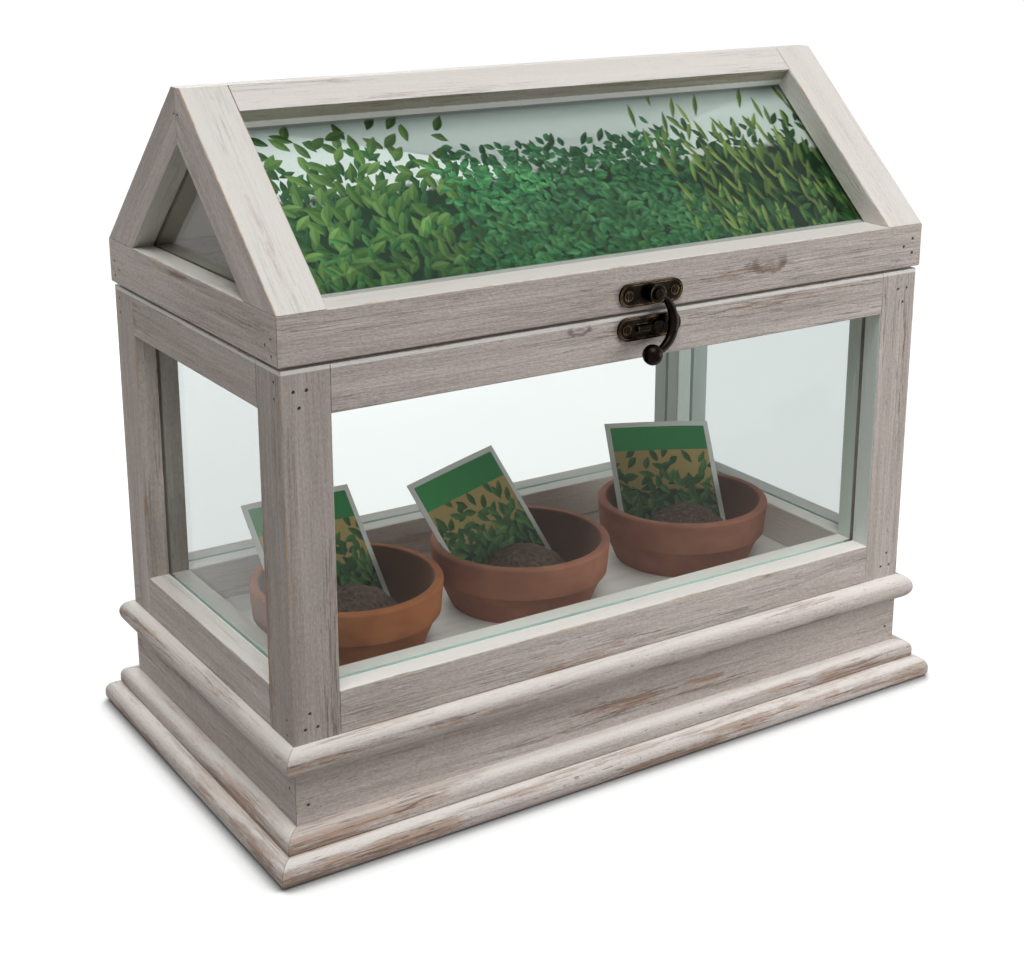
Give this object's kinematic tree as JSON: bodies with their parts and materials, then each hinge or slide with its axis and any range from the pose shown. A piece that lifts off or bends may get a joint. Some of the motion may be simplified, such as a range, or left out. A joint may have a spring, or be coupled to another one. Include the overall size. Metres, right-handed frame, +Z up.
{
  "type": "mini greenhouse",
  "caption": "Small wooden table-top greenhouse: glazed case on a stepped base, hinged gabled glass lid with hook latch, terracotta pots with soil discs and seed packets inside.",
  "frame": {"origin": "centre of the base at its underside", "axes": "+X along the front to the right, +Y to the back, +Z up; the front window and latch face -Y"},
  "size_m": [0.324, 0.181, 0.2781],
  "materials": {
    "washed_wood": "whitewashed and rubbed through",
    "white_board": "matt white paint",
    "glass": "clear, pale green edges",
    "printed_card": "satin print",
    "bronze": "dark antique bronze, rubbed edges",
    "steel_pin": "dull",
    "terracotta": "matt fired clay",
    "soil": "pressed fibre soil",
    "packet_paper": "satin print with a white border"
  },
  "bodies": {
    "case": {"base_moulding_back": "washed_wood", "base_moulding_ends": "washed_wood", "base_moulding_front": "washed_wood", "bottom_rail_back": "washed_wood", "bottom_rail_front": "washed_wood", "bottom_rail_left": "washed_wood", "bottom_rail_right": "washed_wood", "case_hinge_leaves": "bronze", "case_pane_back": "glass", "case_pane_front": "glass", "case_pane_left": "glass", "case_pane_right": "glass", "case_pins": "steel_pin", "case_screws": "bronze", "floor_board": "white_board", "hinge_pins": "bronze", "keeper_plate": "bronze", "post_back_left": "washed_wood", "post_back_right": "washed_wood", "post_front_left": "washed_wood", "post_front_right": "washed_wood", "skirt_back": "washed_wood", "skirt_ends": "washed_wood", "skirt_front": "washed_wood", "top_rail_back": "washed_wood", "top_rail_front": "washed_wood", "top_rail_left": "washed_wood", "top_rail_right": "washed_wood", "waist_moulding_back": "washed_wood", "waist_moulding_ends": "washed_wood", "waist_moulding_front": "washed_wood"},
    "lid": {"gable_pane_left": "glass", "gable_pane_right": "glass", "latch_pivot": "bronze", "latch_plate": "bronze", "lid_hinge_leaves": "bronze", "lid_pins": "steel_pin", "lid_rail_back": "washed_wood", "lid_rail_front": "washed_wood", "lid_rail_left": "washed_wood", "lid_rail_right": "washed_wood", "lid_screws": "bronze", "print_cards": "printed_card", "rafter_back_left": "washed_wood", "rafter_back_right": "washed_wood", "rafter_front_left": "washed_wood", "rafter_front_right": "washed_wood", "ridge_beam": "washed_wood", "roof_pane_back": "glass", "roof_pane_front": "glass"},
    "hook": {"latch_hook": "bronze"},
    "left_pot": {"pot_left": "terracotta", "soil_left": "soil", "packet_left": "packet_paper"},
    "middle_pot": {"pot_middle": "terracotta", "soil_middle": "soil", "packet_middle": "packet_paper"},
    "right_pot": {"pot_right": "terracotta", "soil_right": "soil", "packet_right": "packet_paper"}
  },
  "joints": [
    {"name": "lid_hinge", "type": "hinge", "parent": "case", "child": "lid", "pos_m": [0, 0.08085, 0.1906], "axis": [-1, 0, 0], "range_deg": [0, 105]},
    {"name": "hook_swing", "type": "hinge", "parent": "lid", "child": "hook", "pos_m": [0.0071, -0.0823, 0.1979], "axis": [0, -1, 0], "range_deg": [0, 115]},
    {"name": "left_pot_lift", "type": "slide", "parent": "case", "child": "left_pot", "axis": [0, 0, 1], "range_m": [0, 0.1]},
    {"name": "middle_pot_lift", "type": "slide", "parent": "case", "child": "middle_pot", "axis": [0, 0, 1], "range_m": [0, 0.1]},
    {"name": "right_pot_lift", "type": "slide", "parent": "case", "child": "right_pot", "axis": [0, 0, 1], "range_m": [0, 0.1]}
  ]
}
